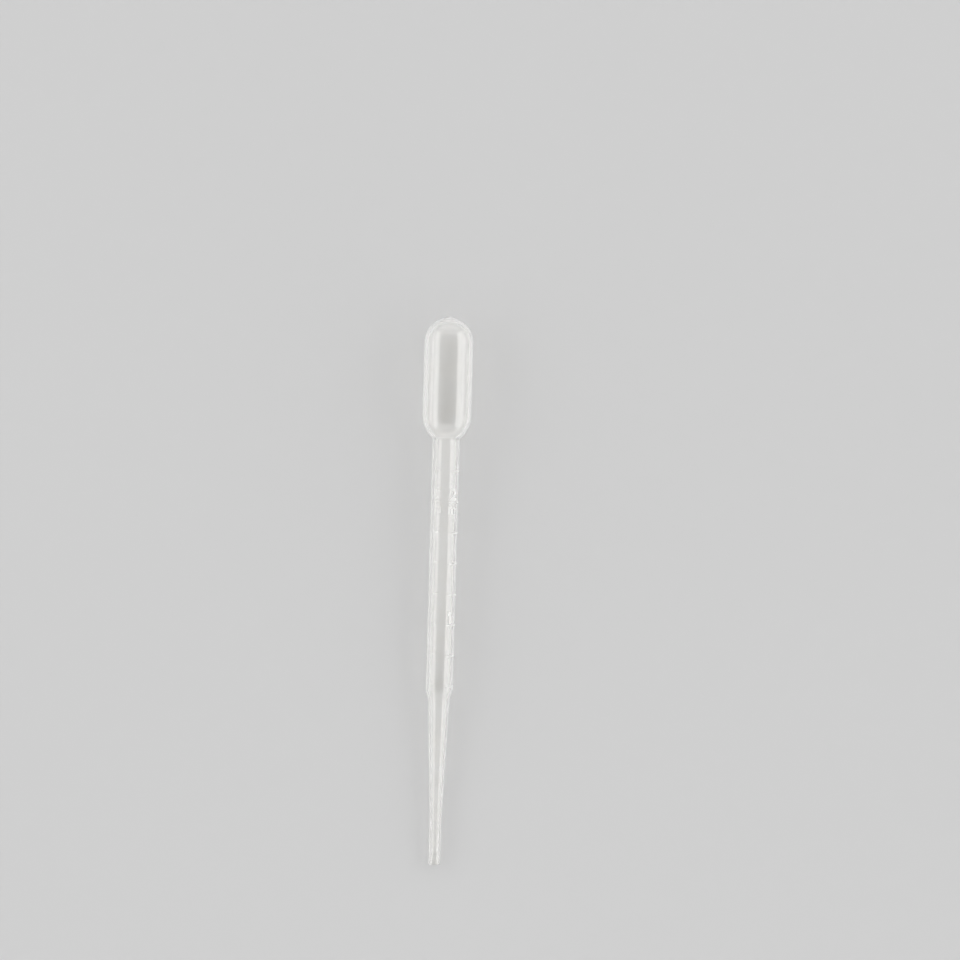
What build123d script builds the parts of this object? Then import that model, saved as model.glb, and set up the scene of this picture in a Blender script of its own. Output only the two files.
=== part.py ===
from build123d import *

import os
from math import acos, atan2, degrees, hypot, sqrt, tan

# Graduated dropper pipette, blow-moulded in one piece from soft polyethylene.
#
# It is drawn in the mould's own frame: the axis runs along +Y from the open tip
# (y = 0) to the crown of the bulb, and the two mould halves part in the YZ plane
# and open along X. At the end it is laid on its side, as it comes to rest.
# All sizes are in millimetres.

# Lengths along the axis
overall_length = 155.0
bulb_length = 34.0
stem_length = 71.4
step_length = 2.2
tip_length = 13.0

# Outside diameters
bulb_diameter = 13.8
stem_diameter = 7.6
shank_diameter = 6.0
tip_diameter = 3.25

# Walls: the plastic is stretched furthest in the bulb, so that wall is the thinnest
bulb_wall = 0.45
stem_wall = 0.75
shank_wall = 0.6
tip_wall = 0.55

# Roundings of the outside; the inside follows them at the distance of the wall
shoulder_radius = 8.4
neck_blend = 0.5
step_head_blend = 1.2
step_foot_blend = 1.0

# Flash line left all round the parting plane, and the pinch-off scar on the crown
seam_height = 0.08
seam_width = 0.35
pinch_height = 0.25
pinch_width = 0.6
pinch_length = 4.0

# Raised graduations, the same on both mould halves: how far apart, how far the first
# is from the step, what it reads, and the bare stretch of stem kept under the bulb
marks_per_ml = 4
mark_pitch = 8.7
first_mark = 1.3
first_reading = 0.5
bare_neck = 8.0
mark_height = 0.18
mark_width = 0.5
mark_crest = 0.25
mark_span = 56.0
whole_ml_span = 66.0

# How far the parting plane is turned from upright when the pipette lies at rest
seam_roll = 36.0

# Grams in a cubic millimetre of low-density polyethylene
density = 0.92e-3

# Levels along the axis
step_foot = overall_length - bulb_length - stem_length - step_length
step_head = step_foot + step_length
neck = step_head + stem_length
dome_centre = overall_length - bulb_diameter / 2


def shoulder_drop(bulb_radius, stem_radius, arc_radius):
    """Axial length of the arc that brings the bulb's wall in to the stem."""
    reach = arc_radius - (bulb_radius - stem_radius)
    return sqrt(arc_radius**2 - reach**2)


shoulder_level = neck + shoulder_drop(bulb_diameter / 2, stem_diameter / 2, shoulder_radius)


def half_section(bulb_inset, stem_inset, shank_inset, tip_inset):
    """Half of the lengthwise section, right of the axis, with each wall moved in by its inset."""
    bulb_radius = bulb_diameter / 2 - bulb_inset
    stem_radius = stem_diameter / 2 - stem_inset
    shank_radius = shank_diameter / 2 - shank_inset
    tip_radius = tip_diameter / 2 - tip_inset
    drop = shoulder_drop(bulb_radius, stem_radius, shoulder_radius - bulb_inset)
    foot_corner = (shank_radius, step_foot)
    head_corner = (stem_radius, step_head)
    neck_corner = (stem_radius, shoulder_level - drop)
    shoulder_end = (bulb_radius, shoulder_level)
    dome_end = (bulb_radius, dome_centre)
    crown = (0, dome_centre + bulb_radius)
    with BuildSketch() as section:
        with BuildLine():
            Polyline((0, 0), (tip_radius, 0), (tip_radius, tip_length), foot_corner)
            Polyline(foot_corner, head_corner, neck_corner)
            TangentArc(shoulder_end, neck_corner, tangent=(0, -1))
            Line(shoulder_end, dome_end)
            TangentArc(dome_end, crown, tangent=(0, 1))
            Line(crown, (0, 0))
        make_face()
        # Inside the wall a hollow corner is rounder than outside, and a full one sharper
        fillet(section.vertices().sort_by_distance(neck_corner)[0], neck_blend + stem_inset)
        fillet(section.vertices().sort_by_distance(head_corner)[0], step_head_blend - stem_inset)
        fillet(section.vertices().sort_by_distance(foot_corner)[0], step_foot_blend + shank_inset)
    return section.sketch


# The space inside, open only at the tip
with BuildPart() as hollow:
    with BuildSketch(Plane.XY):
        add(half_section(bulb_wall, stem_wall, shank_wall, tip_wall))
    revolve(axis=Axis.Y)

# In the parting plane, local x is the distance from the axis and local y runs along it
parting_plane = Plane(origin=(0, 0, 0), x_dir=(0, 0, 1), z_dir=(-1, 0, 0))

with BuildPart() as moulding:
    # Outside of the bulb, stem, shank and tip
    with BuildSketch(Plane.XY):
        add(half_section(0, 0, 0, 0))
    revolve(axis=Axis.Y)

    # Flash line: a thin fin all round the outline
    with BuildSketch(parting_plane):
        add(half_section(-seam_height, -seam_height, -seam_height, -seam_height))
        mirror(about=Plane.YZ)
    extrude(amount=seam_width / 2, both=True)

    # Pinch-off scar: a short weld across the crown, along the parting plane
    with BuildSketch(parting_plane):
        with Locations((0, dome_centre)):
            Circle(bulb_diameter / 2 + pinch_height)
        with Locations((0, overall_length)):
            Rectangle(pinch_length, bulb_diameter, mode=Mode.INTERSECT)
    extrude(amount=pinch_width / 2, both=True)

    # Graduations: low ridges wrapped part of the way round the stem, each centred on
    # the direction in which its mould half opens, and longer at the whole millilitres
    mark_count = 1 + int((stem_length - first_mark - bare_neck) / mark_pitch)
    readings = [first_reading + index / marks_per_ml for index in range(mark_count)]
    root = (stem_diameter - stem_wall) / 2
    crest = stem_diameter / 2 + mark_height
    for index, reading in enumerate(readings):
        level = step_head + first_mark + index * mark_pitch
        span = whole_ml_span if reading.is_integer() else mark_span
        for side in (0, 180):
            with BuildSketch(Plane.XY.rotated((0, side - span / 2, 0))):
                with BuildLine():
                    Polyline(
                        (root, level - mark_width / 2),
                        (stem_diameter / 2, level - mark_width / 2),
                        (crest, level - mark_crest / 2),
                        (crest, level + mark_crest / 2),
                        (stem_diameter / 2, level + mark_width / 2),
                        (root, level + mark_width / 2),
                        close=True,
                    )
                make_face()
            revolve(axis=Axis.Y, revolution_arc=span)

    add(hollow.part, mode=Mode.SUBTRACT)


# At rest it touches the ground at the bulb's shoulder and at the rounded head of the
# step, so the axis slopes as the line that is tangent to both of those arcs does.
step_angle = atan2((stem_diameter - shank_diameter) / 2, step_length)
head_centre = step_head + step_head_blend * tan(step_angle / 2)
across = (bulb_diameter - stem_diameter) / 2 - shoulder_radius + step_head_blend
along = shoulder_level - head_centre
steepest = acos((step_head_blend - shoulder_radius) / hypot(across, along))
rest_tilt = degrees(steepest - atan2(along, across))

lying = moulding.part.moved(Rotation(rest_tilt, 0, 0) * Rotation(0, -seam_roll, 0))
lying_box = lying.bounding_box()
ground_point = Location((lying_box.center().X, lying_box.center().Y, lying_box.min.Z))

with BuildPart() as pipette:
    with Locations(ground_point.inverse()):
        add(lying)
pipette.part.label = "pipette"


def contents_below(level):
    """Millilitres held between the tip and a level on the stem."""
    slab = Box(bulb_diameter, level, bulb_diameter, align=(Align.CENTER, Align.MIN, Align.CENTER))
    return (hollow.part & slab).volume / 1000


for index, reading in enumerate(readings):
    held = contents_below(step_head + first_mark + index * mark_pitch)
    print(f"mark {reading:.2f} ml holds {held:.2f} ml")
print(f"rest tilt {rest_tilt:.3f} degrees")
print(f"ground point {ground_point.position}")
print(f"solid {pipette.part.volume:.1f} mm3, {pipette.part.volume * density:.3f} g")

os.makedirs("parts", exist_ok=True)
export_step(pipette.part, "parts/pipette.step")
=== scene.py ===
# %% Load the frame
from math import atan2, cos, hypot, pi, radians, sin, sqrt, tan

import bmesh
import bpy
from mathutils import Matrix, Vector, noise


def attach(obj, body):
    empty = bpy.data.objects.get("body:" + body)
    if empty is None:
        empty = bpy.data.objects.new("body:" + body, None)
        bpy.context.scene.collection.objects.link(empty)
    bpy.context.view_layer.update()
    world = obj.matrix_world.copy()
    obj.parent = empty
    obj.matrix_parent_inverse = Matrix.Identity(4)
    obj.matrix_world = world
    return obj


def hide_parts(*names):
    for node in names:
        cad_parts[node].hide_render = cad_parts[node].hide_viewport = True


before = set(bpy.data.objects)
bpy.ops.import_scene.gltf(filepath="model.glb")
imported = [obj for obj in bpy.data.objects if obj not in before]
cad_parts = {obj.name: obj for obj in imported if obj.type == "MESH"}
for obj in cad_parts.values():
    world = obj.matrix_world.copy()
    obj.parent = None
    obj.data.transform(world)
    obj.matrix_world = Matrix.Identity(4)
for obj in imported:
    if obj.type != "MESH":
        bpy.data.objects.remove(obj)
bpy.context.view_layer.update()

# %% [markdown]
# This lesson builds a graduated dropper pipette. The real one is blown from
# soft polyethylene in a single shot: a tube of hot plastic is pinched between
# two mould halves and inflated, so bulb, stem and tip are one skin with no
# joins. The CAD model gives its size and the way it lies. Clear plastic shows
# every flat facet, so we make a smoother skin of the same measurements, and
# keep it as one piece, as the mould does.
#
# First come the measurements, in millimetres. The mould's axis runs along +Y,
# from the open tip to the crown of the bulb.

# %% Measurements of the moulding
overall_length = 155.0
bulb_length = 34.0
stem_length = 71.4
step_length = 2.2
tip_length = 13.0
bulb_radius = 6.9
stem_radius = 3.8
shank_radius = 3.0
tip_radius = 1.625
bulb_wall = 0.45
stem_wall = 0.75
shank_wall = 0.6
tip_wall = 0.55
shoulder_radius = 8.4
neck_blend = 0.5
step_head_blend = 1.2
step_foot_blend = 1.0
tip_bend_blend = 40.0
rim_blend = 0.06

step_foot = overall_length - bulb_length - stem_length - step_length
step_head = step_foot + step_length
neck_level = step_head + stem_length
dome_centre = overall_length - bulb_radius
shoulder_level = neck_level + sqrt(
    shoulder_radius**2 - (shoulder_radius - bulb_radius + stem_radius) ** 2
)
print(f"step {step_foot:.1f} to {step_head:.1f}, neck {neck_level:.1f}")
print(f"shoulder {shoulder_level:.2f}, centre of the dome {dome_centre:.1f}")

# %% [markdown]
# At rest the pipette lies on its side and touches the ground in two places, at
# the shoulder of the bulb and at the step in the stem, so its axis slopes a
# little. It has also rolled until the parting line of the mould stands to the
# left of upright. One matrix carries the mould's own axes to that pose, and
# turns millimetres into the metres that Blender counts in.

# %% The pose at rest
rest_tilt = radians(2.28879)
seam_roll = radians(36.0)
tip_place = Vector((0.0, -77.536013, 1.808642))
at_rest = (
    Matrix.Scale(0.001, 4)
    @ Matrix.Translation(tip_place)
    @ Matrix.Rotation(rest_tilt, 4, "X")
    @ Matrix.Rotation(-seam_roll, 4, "Y")
)
crown_place = at_rest @ Vector((0.0, overall_length, 0.0))
print("crown at rest, mm:", [round(c * 1000, 2) for c in crown_place])

# %% [markdown]
# The outline of the skin is a chain of edges. For a straight run the last
# vertex is extruded to the next corner, and for an arc it is spun round the
# arc's centre. A corner is rounded with a vertex bevel, whose offset follows
# from the radius wanted and the angle by which the chain turns there. Drawing
# it this way, and not with a list of coordinates, keeps every radius a number
# that can be changed.


# %% Tools for drawing an outline
def run_to(bm, last, x, y, pieces=1):
    """Extrudes the chain's last vertex in a straight run, divided into pieces."""
    start = last.co.copy()
    for step in range(1, pieces + 1):
        last = bmesh.ops.extrude_vert_indiv(bm, verts=[last])["verts"][0]
        last.co = start.lerp(Vector((x, y, 0.0)), step / pieces)
    return last


def arc_round(bm, last, centre, angle, steps):
    """Spins the chain's last vertex round a centre. A positive angle turns from +X to +Y."""
    turned = bmesh.ops.spin(
        bm, geom=[last], cent=(*centre, 0.0), axis=(0.0, 0.0, 1.0), angle=angle, steps=steps
    )
    return turned["geom_last"][0]


def round_corner(bm, corner, radius, turn, segments):
    """Replaces a corner of the chain, where it turns by that angle, with an arc."""
    bmesh.ops.bevel(
        bm,
        geom=[corner],
        affect="VERTICES",
        offset=radius * tan(turn / 2),
        offset_type="OFFSET",
        segments=segments,
        profile=0.5,
        material=-1,
        clamp_overlap=True,
    )


# %% [markdown]
# The outside and the inside of the skin are the same outline, drawn twice: the
# inside has every part moved in by the wall. The walls are not equal. The
# plastic stretches furthest where the mould is widest, so the bulb is thin and
# soft enough to squeeze while the stem stays stiff. Where the shoulder's large
# arc meets the stem, the small fillet's centre is the one point that lies a
# fillet's radius from both, so the two arcs meet without a kink.
#
# Every stretch has its own number of pieces. Straight runs need a few so that
# faces don't become long slivers, and arcs need more because light shows them.

# %% The outline from tip to crown
tip_pieces = 5
shank_pieces = 14
stem_pieces = 32
neck_steps = 6
shoulder_steps = 18
bulb_pieces = 12
dome_steps = 32
foot_segments = 5
head_segments = 6
bend_segments = 4


def outline(bm, bulb_inset, stem_inset, shank_inset, tip_inset, low_end=0.0):
    """Draws the outline with each part moved in by its inset. Returns its end at the tip."""
    bulb = bulb_radius - bulb_inset
    stem = stem_radius - stem_inset
    shank = shank_radius - shank_inset
    tip = tip_radius - tip_inset
    shoulder = shoulder_radius - bulb_inset
    fillet = neck_blend + stem_inset
    shoulder_x = bulb - shoulder
    fillet_x = stem + fillet
    drop = sqrt((shoulder + fillet) ** 2 - (fillet_x - shoulder_x) ** 2)
    fillet_y = shoulder_level - drop
    flare = atan2(drop, fillet_x - shoulder_x)

    first = bm.verts.new((tip, low_end, 0.0))
    bend = run_to(bm, first, tip, tip_length, tip_pieces)
    foot = run_to(bm, bend, shank, step_foot, shank_pieces)
    head = run_to(bm, foot, stem, step_head)
    last = run_to(bm, head, stem, fillet_y, stem_pieces)
    last = arc_round(bm, last, (fillet_x, fillet_y), -flare, neck_steps)
    last = arc_round(bm, last, (shoulder_x, shoulder_level), flare, shoulder_steps)
    last = run_to(bm, last, bulb, dome_centre, bulb_pieces)
    crown = arc_round(bm, last, (0.0, dome_centre), pi / 2, dome_steps)
    crown.co.x = 0.0

    taper = atan2(shank - tip, step_foot - tip_length)
    slope = atan2(stem - shank, step_length)
    round_corner(bm, foot, step_foot_blend + shank_inset, slope - taper, foot_segments)
    round_corner(bm, head, step_head_blend - stem_inset, slope, head_segments)
    round_corner(bm, bend, tip_bend_blend, taper, bend_segments)
    return first


# %% [markdown]
# The skin is a lathe shape. The two outlines are joined across the cut end of
# the tip, whose rim gets a hair's rounding, and the chain is spun once round
# the axis. `use_merge` closes the seam of the spin. Both ends of the chain lie
# on the axis, where merging by distance draws all copies of the crown into one
# pole. A closed skin has no open edges, and its volume says how much plastic
# the real one holds.

# %% The skin
around = 240
rim_segments = 2
merge_distance = 0.0001


def finish_normals(bm):
    """Merges doubled vertices and turns all faces outwards."""
    bmesh.ops.remove_doubles(bm, verts=bm.verts, dist=merge_distance)
    bmesh.ops.recalc_face_normals(bm, faces=bm.faces)


def open_edges(bm):
    """How many edges don't have exactly two faces. A closed piece has none."""
    return sum(not edge.is_manifold for edge in bm.edges)


def object_from(bm, name):
    """Makes an object at the origin from a bmesh, and frees the bmesh."""
    mesh = bpy.data.meshes.new(name)
    bm.to_mesh(mesh)
    bm.free()
    made = bpy.data.objects.new(name, mesh)
    bpy.context.scene.collection.objects.link(made)
    return made


skin = bmesh.new()
outer_rim = outline(skin, 0.0, 0.0, 0.0, 0.0)
inner_rim = outline(skin, bulb_wall, stem_wall, shank_wall, tip_wall)
skin.edges.new((outer_rim, inner_rim))
for rim in (outer_rim, inner_rim):
    round_corner(skin, rim, rim_blend, pi / 2, rim_segments)
bmesh.ops.spin(
    skin,
    geom=skin.verts[:] + skin.edges[:],
    cent=(0.0, 0.0, 0.0),
    axis=(0.0, 1.0, 0.0),
    angle=2 * pi,
    steps=around,
    use_merge=True,
)
finish_normals(skin)
print(f"skin: {len(skin.faces)} faces, {open_edges(skin)} open edges, "
      f"{skin.calc_volume(signed=True):.0f} cubic mm")
skin_object = object_from(skin, "skin")

# %% [markdown]
# Where the two mould halves meet, a hair of plastic escapes and leaves a flash
# line all round the outline. It is made as a thin strip that stands in the
# parting plane: one outline just proud of the skin and one inside the wall are
# bridged, mirrored to the other side of the axis and thickened. Its foot stays
# hidden in the wall, so nothing gapes when the two are joined.

# %% The flash line
flash_height = 0.08
flash_width = 0.35
flash_foot = 0.25
flash_start = 0.03
crown_merge = 0.001

flash = bmesh.new()
outline(flash, *(-flash_height,) * 4, low_end=flash_start)
outline(flash, *(flash_foot,) * 4, low_end=flash_start)
bmesh.ops.bridge_loops(flash, edges=flash.edges[:])
bmesh.ops.mirror(
    flash,
    geom=flash.verts[:] + flash.edges[:] + flash.faces[:],
    axis="X",
    merge_dist=crown_merge,
)
bmesh.ops.translate(flash, verts=flash.verts, vec=(0.0, 0.0, -flash_width / 2))
thickened = bmesh.ops.extrude_face_region(flash, geom=flash.faces[:], use_keep_orig=True)
bmesh.ops.translate(
    flash,
    verts=[part for part in thickened["geom"] if isinstance(part, bmesh.types.BMVert)],
    vec=(0.0, 0.0, flash_width),
)
bmesh.ops.rotate(
    flash, verts=flash.verts, cent=(0.0, 0.0, 0.0), matrix=Matrix.Rotation(pi / 2, 3, "Y")
)
finish_normals(flash)
print(f"flash line: {len(flash.faces)} faces, {open_edges(flash)} open edges")
raised = [object_from(flash, "flash_line")]

# %% [markdown]
# On the crown the hot tube was pinched shut. The weld shows as a short ridge
# across the top of the dome, a little higher and wider than the flash line. A
# four-cornered section, narrower at its crest, is spun through about thirty
# degrees round the centre of the dome. The graduations will be made with the
# same function, so it takes any section, axis and angle.


# %% A short swept ridge, and the pinch-off scar
def swept_ridge(corners, centre, axis, start, angle, steps):
    """Spins a four-cornered section into a closed block, from start through angle."""
    bm = bmesh.new()
    section = bm.faces.new([bm.verts.new(corner) for corner in corners])
    bmesh.ops.rotate(
        bm, verts=bm.verts, cent=centre, matrix=Matrix.Rotation(start, 3, Vector(axis))
    )
    bmesh.ops.spin(bm, geom=[section], cent=centre, axis=axis, angle=angle, steps=steps)
    bmesh.ops.holes_fill(bm, edges=[edge for edge in bm.edges if edge.is_boundary])
    finish_normals(bm)
    return bm


scar_height = 0.25
scar_foot_width = 0.6
scar_crest_width = 0.36
scar_length = 4.0
scar_root = 0.2
scar_steps = 12
scar_foot = overall_length - scar_root
scar_crest = overall_length + scar_height
scar_angle = scar_length / (bulb_radius + scar_height)
scar = swept_ridge(
    [
        (-scar_foot_width / 2, scar_foot, 0.0),
        (scar_foot_width / 2, scar_foot, 0.0),
        (scar_crest_width / 2, scar_crest, 0.0),
        (-scar_crest_width / 2, scar_crest, 0.0),
    ],
    centre=(0.0, dome_centre, 0.0),
    axis=(1.0, 0.0, 0.0),
    start=-scar_angle / 2,
    angle=scar_angle,
    steps=scar_steps,
)
print(f"pinch-off scar: {len(scar.faces)} faces, {open_edges(scar)} open edges")
raised.append(object_from(scar, "pinch_off_scar"))

# %% [markdown]
# The graduations are cut into both mould halves, so they stand out on the stem
# as low ridges, a quarter of a millilitre apart. The ones at whole millilitres
# reach further round. A ridge starts inside the wall and slopes up to a narrow
# crest, because a mould needs sloping sides to let go of the plastic.

# %% The graduations
mark_pitch = 8.7
mark_above_step = 1.3
first_mark = step_head + mark_above_step
mark_count = 8
marks_per_ml = 4
marks_below_first = 2
mark_height = 0.18
mark_foot_width = 0.5
mark_crest_width = 0.25
mark_root = 0.3
mark_span = radians(56)
whole_ml_span = radians(66)
mark_steps = 20
mould_halves = (0.0, pi)


def is_whole(index):
    """True for a mark that reads a whole number of millilitres."""
    return (index + marks_below_first) % marks_per_ml == 0


flank_run = (mark_foot_width - mark_crest_width) / 2
root_half = mark_foot_width / 2 + mark_root * flank_run / mark_height
for index in range(mark_count):
    level = first_mark + index * mark_pitch
    span = whole_ml_span if is_whole(index) else mark_span
    for half in mould_halves:
        ridge = swept_ridge(
            [
                (stem_radius - mark_root, level - root_half, 0.0),
                (stem_radius + mark_height, level - mark_crest_width / 2, 0.0),
                (stem_radius + mark_height, level + mark_crest_width / 2, 0.0),
                (stem_radius - mark_root, level + root_half, 0.0),
            ],
            centre=(0.0, 0.0, 0.0),
            axis=(0.0, 1.0, 0.0),
            start=half - span / 2,
            angle=span,
            steps=mark_steps,
        )
        raised.append(object_from(ridge, f"mark_{index}_{half:.0f}"))
print(mark_count, "marks on each mould half, from", round(first_mark, 1), "mm")

# %% [markdown]
# The whole millilitres are numbered, and the last one also carries the unit.
# The lettering is Blender's own plain font, given some thickness and turned
# into a mesh. A straight stroke would cut through the round stem, so the mesh
# is first sliced into narrow strips. Then it is wrapped: the distance across
# becomes an angle, and the thickness becomes a distance from the axis. The
# font's capitals stand 0.72 of its size high, so the size follows from the
# height wanted. Its 1 is a plain bar, and a small slanted stroke gives it a
# flag.

# %% The numerals
letter_rise = 0.28
letter_root = 0.3
letter_weight = 0.1
letter_centre = radians(-15)
capital_share = 0.72
strip_width = 0.25
numeral_height = 3.4
unit_height = 2.9
letter_gap = 0.45
unit_squeeze = 0.8
flag_height = 1.0
flag_aside = -0.42


def lettering(text, height, foot_level, half, name, squeeze=1.0, aside=0.0):
    """Raised lettering on the stem, upright when the bulb is at the top."""
    curve = bpy.data.curves.new(name, "FONT")
    curve.body = text
    curve.size = height / capital_share
    curve.offset = letter_weight
    curve.resolution_u = 6
    curve.extrude = (letter_rise + letter_root) / 2
    flat = bpy.data.objects.new(name, curve)
    mesh = bpy.data.meshes.new_from_object(flat)
    bm = bmesh.new()
    bm.from_mesh(mesh)
    bpy.data.objects.remove(flat)
    bpy.data.curves.remove(curve)
    bpy.data.meshes.remove(mesh)
    finish_normals(bm)
    left = min(vertex.co.x for vertex in bm.verts)
    right = max(vertex.co.x for vertex in bm.verts)
    foot = min(vertex.co.y for vertex in bm.verts)
    for strip in range(1, int((right - left) / strip_width) + 1):
        bmesh.ops.bisect_plane(
            bm,
            geom=bm.verts[:] + bm.edges[:] + bm.faces[:],
            dist=merge_distance,
            plane_co=(left + strip * strip_width, 0.0, 0.0),
            plane_no=(1.0, 0.0, 0.0),
        )
    middle = stem_radius + (letter_rise - letter_root) / 2
    for vertex in bm.verts:
        across = (vertex.co.x - (left + right) / 2) * squeeze + aside
        angle = half + letter_centre + across / stem_radius
        radius = middle + vertex.co.z
        level = foot_level + vertex.co.y - foot
        vertex.co = (radius * cos(angle), level, -radius * sin(angle))
    finish_normals(bm)
    top = max(vertex.co.y for vertex in bm.verts)
    print(f"{text}: {(right - left) * squeeze:.2f} mm wide, {top - foot_level:.2f} mm high, "
          f"{open_edges(bm)} open edges")
    return object_from(bm, name)


for half in mould_halves:
    for index in filter(is_whole, range(mark_count)):
        level = first_mark + index * mark_pitch
        reading = (index + marks_below_first) // marks_per_ml
        name = f"numeral_{reading}_{half:.0f}"
        raised.append(lettering(str(reading), numeral_height, level + letter_gap, half, name))
        if reading == 1:
            flag_foot = level + letter_gap + numeral_height - flag_height - letter_weight
            name = f"flag_{half:.0f}"
            raised.append(lettering("/", flag_height, flag_foot, half, name, aside=flag_aside))
    # The loop has ended, so level is that of the last whole millilitre
    unit_foot = level - letter_gap - unit_height
    name = f"unit_{half:.0f}"
    raised.append(lettering("ml", unit_height, unit_foot, half, name, squeeze=unit_squeeze))

# %% [markdown]
# In the mould all of this is one skin, so the flash line, the scar, the ridges
# and the numerals are joined to it with one Boolean union. Left as separate
# pieces they would still have walls inside the plastic, and clear plastic
# would show them. The exact solver keeps the result closed.

# %% Joining everything into one skin
features = bpy.data.collections.new("raised_features")
bpy.context.scene.collection.children.link(features)
for feature in raised:
    bpy.context.scene.collection.objects.unlink(feature)
    features.objects.link(feature)
join = skin_object.modifiers.new("join", "BOOLEAN")
join.operation = "UNION"
join.operand_type = "COLLECTION"
join.collection = features
join.solver = "EXACT"
bpy.context.view_layer.update()
evaluated_scene = bpy.context.evaluated_depsgraph_get()
joined_mesh = bpy.data.meshes.new_from_object(skin_object.evaluated_get(evaluated_scene))
bpy.data.objects.remove(skin_object)
for feature in raised:
    bpy.data.objects.remove(feature)
bpy.data.collections.remove(features)
moulding = bmesh.new()
moulding.from_mesh(joined_mesh)
bpy.data.meshes.remove(joined_mesh)
print(f"joined: {len(moulding.faces)} faces, {open_edges(moulding)} open edges, "
      f"{moulding.calc_volume(signed=True):.0f} cubic mm")

# %% [markdown]
# The marks and the lettering are engraved in the mould, and the engraving is
# rougher than the steel around it, so they come out slightly frosted. That is
# what makes them readable on a clear stem. A number stored with every vertex,
# 1 on a crest and 0 elsewhere, will tell the material where they are.

# %% Where the skin is frosted
crest_threshold = 0.1

frost = moulding.verts.layers.float.new("frosted")
frosted_count = 0
for vertex in moulding.verts:
    on_stem = step_head + step_head_blend < vertex.co.y < neck_level
    if on_stem and hypot(vertex.co.x, vertex.co.z) > stem_radius + crest_threshold:
        vertex[frost] = 1.0
        frosted_count += 1
print(frosted_count, "frosted vertices of", len(moulding.verts))

# %% [markdown]
# Blown plastic is never as true as a turned part. The bulb has slow, shallow
# waves, and the wall is a touch thicker on one side than on the other. Both
# are made by moving the vertices a few hundredths of a millimetre, less where
# the skin is narrow. The waves only press inwards, so the skin stays within its
# true size. Their noise is read on a ring, at the vertex's angle and level, so
# both sides of the wall read the same value and move together. A second noise,
# read a little way off, moves only the inside. A vertex on the axis has no way
# outwards, and stays.

# %% Shallow waves in the wall
wave_depth = 0.07
wall_swing = 0.08
wave_size = 4.5
swing_size = 14.0
noise_ring = 5.0
swing_shift = Vector((7.0, 0.0, 3.0))
near_axis = 0.01

deepest = 0.0
moulding.normal_update()
for vertex in moulding.verts:
    across = Vector((vertex.co.x, 0.0, vertex.co.z))
    radius = across.length
    if radius < near_axis:
        continue
    outwards = across / radius
    spot = outwards * noise_ring + Vector((0.0, vertex.co.y, 0.0))
    share = min(1.0, radius / bulb_radius) ** 2
    depth = wave_depth * share * (0.5 + 0.5 * noise.noise(spot / wave_size))
    if vertex.normal.dot(across) < 0.0:
        depth += wall_swing * share * noise.noise(spot / swing_size + swing_shift)
    vertex.co -= outwards * depth
    deepest = max(deepest, depth)
print(f"deepest wave {deepest:.3f} mm")

# %% [markdown]
# The finished moulding is carried to its pose at rest inside its own mesh, so
# its object stays at the origin as the CAD node does. It is shaded smooth, but
# edges that turn by more than 30 degrees stay crisp: the flash line, the ridges
# and the numerals. It rides on the only body there is, and the CAD node is
# hidden so that the moulding shows in its place.

# %% The finished moulding
crisp_angle = radians(30)

moulding.transform(at_rest)
pipette = object_from(moulding, "pipette_moulding")
pipette.data.shade_smooth()
pipette.data.set_sharp_from_angle(angle=crisp_angle)
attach(pipette, "root")
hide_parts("pipette")
triangles = sum(len(face.vertices) - 2 for face in pipette.data.polygons)
print("pipette_moulding:", triangles, "triangles")

# %% [markdown]
# Natural polyethylene is a milky plastic. Looked at squarely a thin wall is
# almost clear, but a glancing look passes through far more of it, so the bulb
# and the stem turn creamy white towards their edges. A Layer Weight node knows
# that angle. Its Facing value, raised to a power, takes over from transmission,
# which leaves a white base colour in its place.
#
# Light crosses eight surfaces on its way to the floor and back, and each one
# takes its share. The base colour and the clearness must therefore stay very
# close to one, or the bulb would look like smoked glass.

# %% Milky polyethylene
edge_power = 2.0

polyethylene = bpy.data.materials.new("milky_polyethylene")
polyethylene.use_nodes = True
nodes = polyethylene.node_tree.nodes
links = polyethylene.node_tree.links
plastic = nodes["Principled BSDF"]
plastic.inputs["IOR"].default_value = 1.51


def scale_to(value, low, high, start=0.0, end=1.0):
    """A Map Range node that carries start..end of a value to low..high. Returns its output."""
    node = nodes.new("ShaderNodeMapRange")
    node.inputs["From Min"].default_value = start
    node.inputs["From Max"].default_value = end
    node.inputs["To Min"].default_value = low
    node.inputs["To Max"].default_value = high
    links.new(value, node.inputs["Value"])
    return node.outputs["Result"]


def combine(operation, first, second):
    """A Math node on a value and on a second value or a plain number. Returns its output."""
    node = nodes.new("ShaderNodeMath")
    node.operation = operation
    links.new(first, node.inputs[0])
    if isinstance(second, float):
        node.inputs[1].default_value = second
    else:
        links.new(second, node.inputs[1])
    return node.outputs["Value"]


glancing = nodes.new("ShaderNodeLayerWeight")
glancing.inputs["Blend"].default_value = 0.5
milky_edge = combine("POWER", glancing.outputs["Facing"], edge_power)
for angle in (0, 30, 60, 90):
    milkiness = (1 - cos(radians(angle))) ** edge_power
    print(f"seen at {angle} degrees from square: {milkiness:.2f} milky")

# %% [markdown]
# While it is blown the plastic is drawn out along the mould, and that shows as
# faint streaks along the axis. The clouding isn't even either: it comes in soft
# patches a few millimetres wide. Both are noise in Object coordinates, which
# count in metres, so a scale of 250 gives a patch of 4 mm. For the streaks a
# Mapping node squeezes the coordinates lengthwise, which stretches the pattern,
# and then turns them by the slope of the axis. Noise seldom leaves the range
# from 0.3 to 0.7, which is why some ranges further on start and end there.

# %% Patches and streaks
patch_scale = 250.0
streak_scale = 900.0
streak_squeeze = 0.06

place = nodes.new("ShaderNodeTexCoord").outputs["Object"]


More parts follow.
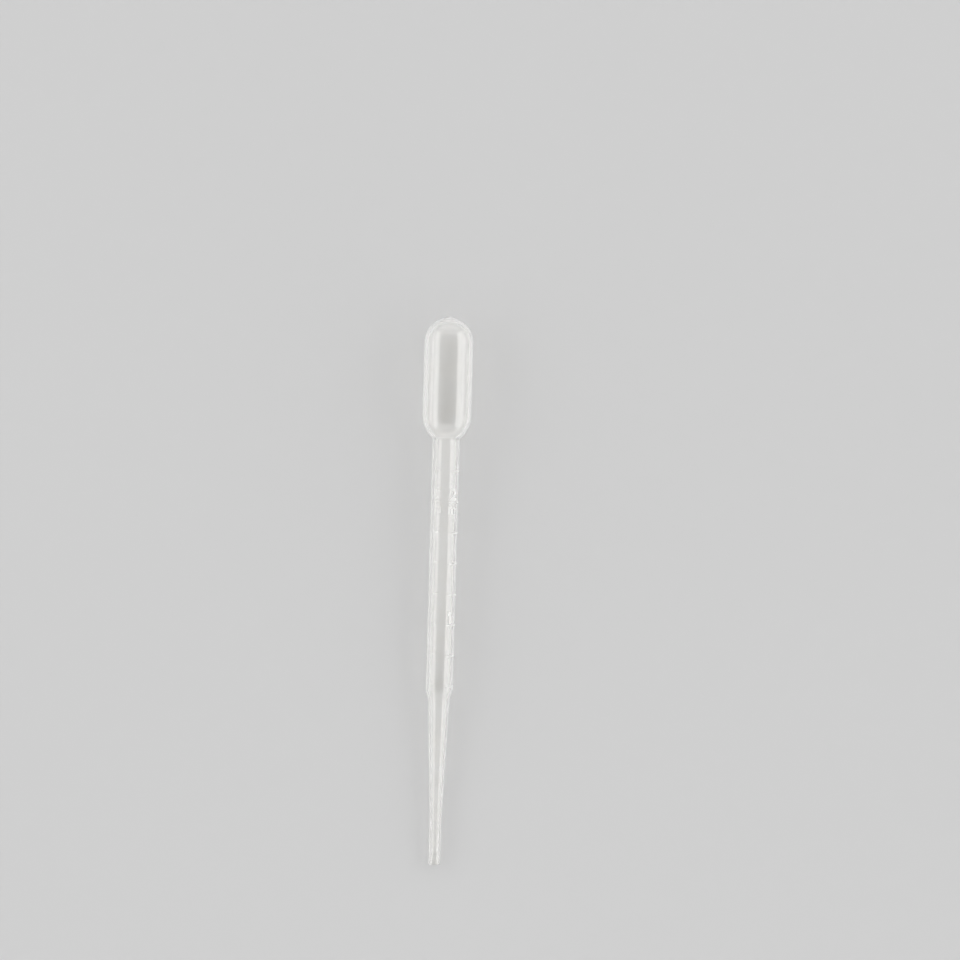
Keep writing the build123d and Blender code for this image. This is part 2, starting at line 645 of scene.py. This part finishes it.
def noise_at(coordinates, scale, detail):
    """A noise texture, read at coordinates. Returns its value."""
    node = nodes.new("ShaderNodeTexNoise")
    node.inputs["Scale"].default_value = scale
    node.inputs["Detail"].default_value = detail
    links.new(coordinates, node.inputs["Vector"])
    return node.outputs["Fac"]


along_axis = nodes.new("ShaderNodeMapping")
along_axis.vector_type = "POINT"
along_axis.inputs["Rotation"].default_value = (-rest_tilt, 0.0, 0.0)
along_axis.inputs["Scale"].default_value = (1.0, streak_squeeze, 1.0)
links.new(place, along_axis.inputs["Vector"])
patches = noise_at(place, patch_scale, detail=3.0)
streaks = noise_at(along_axis.outputs["Vector"], streak_scale, detail=2.0)
print(f"patches of {1000 / patch_scale:.1f} mm, streaks {1000 / streak_scale:.1f} mm wide")

# %% [markdown]
# Now the finish is put together. The clearness runs from nearly all to nothing
# as the view becomes glancing, and the patches and streaks take a little more
# away. The base colour moves between white and a warm white with the patches.
# The surface is soft and slightly waxy, so highlights are a little blurred, and
# the streaks change that blur. The frosted marks and lettering are hazier and
# rougher than the rest. The last touch is a fine, shallow bump: the skin copies
# the grain of the mould's steel.

# %% Colour, clearness, roughness and bump
clearest = 0.995
patch_cloud = 0.008
streak_cloud = 0.006
frost_cloud = 0.3
cool_white = (1.0, 1.0, 0.995, 1.0)
warm_white = (1.0, 0.994, 0.98, 1.0)
least_blur = 0.08
most_blur = 0.13
frost_blur = 0.2
bump_strength = 0.1
bump_depth = 0.00003
bump_scale = 2200.0

frosting = nodes.new("ShaderNodeAttribute")
frosting.attribute_name = "frosted"
frosted = frosting.outputs["Fac"]

clearness = scale_to(milky_edge, clearest, 0.0)
patch_haze = scale_to(patches, 0.0, patch_cloud, start=0.35, end=0.7)
cloudy = combine("ADD", patch_haze, scale_to(streaks, 0.0, streak_cloud))
cloudy = combine("ADD", cloudy, scale_to(frosted, 0.0, frost_cloud))
clearness = combine("SUBTRACT", clearness, cloudy)
links.new(clearness, plastic.inputs["Transmission Weight"])

tint = nodes.new("ShaderNodeMix")
tint.data_type = "RGBA"
links.new(scale_to(patches, 0.0, 1.0, start=0.3, end=0.7), tint.inputs["Factor"])
tint.inputs["A"].default_value = cool_white
tint.inputs["B"].default_value = warm_white
links.new(tint.outputs["Result"], plastic.inputs["Base Color"])

blur = scale_to(streaks, least_blur, most_blur, start=0.3, end=0.7)
blur = combine("ADD", blur, scale_to(frosted, 0.0, frost_blur))
links.new(blur, plastic.inputs["Roughness"])

mould_grain = nodes.new("ShaderNodeBump")
mould_grain.inputs["Strength"].default_value = bump_strength
mould_grain.inputs["Distance"].default_value = bump_depth
links.new(noise_at(place, bump_scale, detail=2.0), mould_grain.inputs["Height"])
links.new(mould_grain.outputs["Normal"], plastic.inputs["Normal"])
pipette.data.materials.append(polyethylene)
print("milky_polyethylene:", len(nodes), "nodes")

# %% [markdown]
# The pipette lies on a sheet of pale paper that curves up into a wall all
# round, far behind the lights, so any view has a plain background. It is one
# more spun outline, drawn in metres and turned to stand upright. A sheet is
# open, so it has no outside of its own: if the floor's faces look down, all of
# them are turned round.

# %% The floor and the backdrop
floor_radius = 5.0
sweep_radius = 1.5
wall_top = 4.0
sweep_steps = 24
turn_steps = 96

sheet = bmesh.new()
first = sheet.verts.new((0.0, 0.0, 0.0))
last = run_to(sheet, first, floor_radius - sweep_radius, 0.0)
last = arc_round(sheet, last, (floor_radius - sweep_radius, sweep_radius), pi / 2, sweep_steps)
run_to(sheet, last, floor_radius, wall_top)
bmesh.ops.spin(
    sheet,
    geom=sheet.verts[:] + sheet.edges[:],
    cent=(0.0, 0.0, 0.0),
    axis=(0.0, 1.0, 0.0),
    angle=2 * pi,
    steps=turn_steps,
    use_merge=True,
)
bmesh.ops.rotate(sheet, verts=sheet.verts, matrix=Matrix.Rotation(pi / 2, 3, "X"))
finish_normals(sheet)
lowest = min(sheet.faces, key=lambda face: face.calc_center_median().z)
if lowest.normal.z < 0.0:
    bmesh.ops.reverse_faces(sheet, faces=sheet.faces)
backdrop = object_from(sheet, "floor_and_backdrop")
backdrop.data.shade_smooth()
print("backdrop:", len(backdrop.data.polygons), "faces")

# %% [markdown]
# Paper is matt. It has no gloss, a faint grain and the slightest change of
# shade from place to place, both again from noise. It is a little darker than
# the creamy edges of the plastic, or they would vanish. `nodes` and `links` now
# stand for this material, so the helpers work in it.

# %% Pale paper
paper_shade = 0.62
shade_swing = 0.008
cloud_scale = 3.0
grain_scale = 1500.0
grain_depth = 0.00005

paper = bpy.data.materials.new("pale_paper")
paper.use_nodes = True
nodes = paper.node_tree.nodes
links = paper.node_tree.links
sheet_shader = nodes["Principled BSDF"]
sheet_shader.inputs["Roughness"].default_value = 0.9
sheet_shader.inputs["Specular IOR Level"].default_value = 0.0
paper_place = nodes.new("ShaderNodeTexCoord").outputs["Object"]
shade = nodes.new("ShaderNodeMix")
shade.data_type = "RGBA"
links.new(noise_at(paper_place, cloud_scale, detail=2.0), shade.inputs["Factor"])
shade.inputs["A"].default_value = (*(paper_shade - shade_swing,) * 3, 1.0)
shade.inputs["B"].default_value = (*(paper_shade + shade_swing,) * 3, 1.0)
links.new(shade.outputs["Result"], sheet_shader.inputs["Base Color"])
grain = nodes.new("ShaderNodeBump")
grain.inputs["Strength"].default_value = 0.1
grain.inputs["Distance"].default_value = grain_depth
links.new(noise_at(paper_place, grain_scale, detail=3.0), grain.inputs["Height"])
links.new(grain.outputs["Normal"], sheet_shader.inputs["Normal"])
backdrop.data.materials.append(paper)
print("pale_paper:", len(nodes), "nodes")

# %% [markdown]
# Clear things are lit by what they mirror. Four tall panels stand round the
# pipette like the walls of a tent, with a dimmer opening straight above. The
# bright side panels draw the two long bands of light down the bulb and the
# stem, and the opening leaves the calm, darker core between them. The end
# panels are weaker, because their light would wash out the dome. A panel's
# energy follows from how bright its face should look, so that all levels can be
# compared with a white that renders as one.

# %% The light tent
room_level = 0.66
side_level = 1.4
end_level = 0.42
side_panel_top = radians(46)
end_panel_top = radians(37)
panel_distance = 3.0


def panel(name, towards, top_angle, level):
    """A panel of light that stands on the floor, up to an angle from straight above."""
    light = bpy.data.lights.new(name, "AREA")
    light.shape = "RECTANGLE"
    light.size = 2 * panel_distance
    light.size_y = panel_distance / tan(top_angle)
    light.energy = level * pi * light.size * light.size_y
    lamp = bpy.data.objects.new(name, light)
    direction = Vector(towards)
    lamp.location = direction * panel_distance + Vector((0.0, 0.0, light.size_y / 2))
    lamp.rotation_euler = direction.to_track_quat("Z", "Y").to_euler()
    lamp.visible_camera = False
    bpy.context.scene.collection.objects.link(lamp)
    print(f"{name}: {light.size:.1f} by {light.size_y:.2f} m, {light.energy:.0f} W")


panel("left_panel", (-1.0, 0.0, 0.0), side_panel_top, side_level)
panel("right_panel", (1.0, 0.0, 0.0), side_panel_top, side_level)
panel("far_panel", (0.0, 1.0, 0.0), end_panel_top, end_level)
panel("near_panel", (0.0, -1.0, 0.0), end_panel_top, end_level)

room = bpy.data.worlds.new("room")
room.use_nodes = True
room_light = room.node_tree.nodes["Background"]
room_light.inputs["Color"].default_value = (1.0, 1.0, 1.0, 1.0)
room_light.inputs["Strength"].default_value = room_level
bpy.context.scene.world = room

# %% [markdown]
# Two things keep the light that passes through the plastic. Filter Glossy
# blurs sharp light paths to save samples, but it loses much of the light that
# reaches the floor through a curved wall, and a clear bulb would stand in a
# shadow of its own. It is switched off. A ray meets eight surfaces and bounces
# inside the wall as well, so it is allowed many bounces.

# %% Paths of light
most_bounces = 24

paths = bpy.context.scene.cycles
paths.blur_glossy = 0.0
paths.max_bounces = most_bounces
paths.transmission_bounces = most_bounces
print("bounces:", paths.max_bounces, "through clear things:", paths.transmission_bounces)

# %% [markdown]
# The camera looks straight down, as one looks at a pipette on a bench. A long
# lens keeps the outline true, with little perspective. The camera is turned a
# little, so that the pipette leans, and moved aside, so that it lies left of the
# middle and low. Its height follows from the width that it should take in at
# the level of the pipette's axis.

# %% The camera
lens = 100.0
sensor = 36.0
view_width = 0.2721
lean = radians(1.634)
middle_in_view = Vector((-0.0108, -0.0316))
axis_height = 0.004

camera_data = bpy.data.cameras.new("camera")
camera_data.lens = lens
camera_data.sensor_width = sensor
camera = bpy.data.objects.new("camera", camera_data)
camera.rotation_euler = (0.0, 0.0, lean)
offset = Matrix.Rotation(lean, 2) @ -middle_in_view
camera.location = (offset.x, offset.y, axis_height + view_width * lens / sensor)
bpy.context.scene.collection.objects.link(camera)
bpy.context.scene.camera = camera
bpy.context.scene.view_settings.view_transform = "Standard"
print("camera at", [round(c, 3) for c in camera.location], "m")
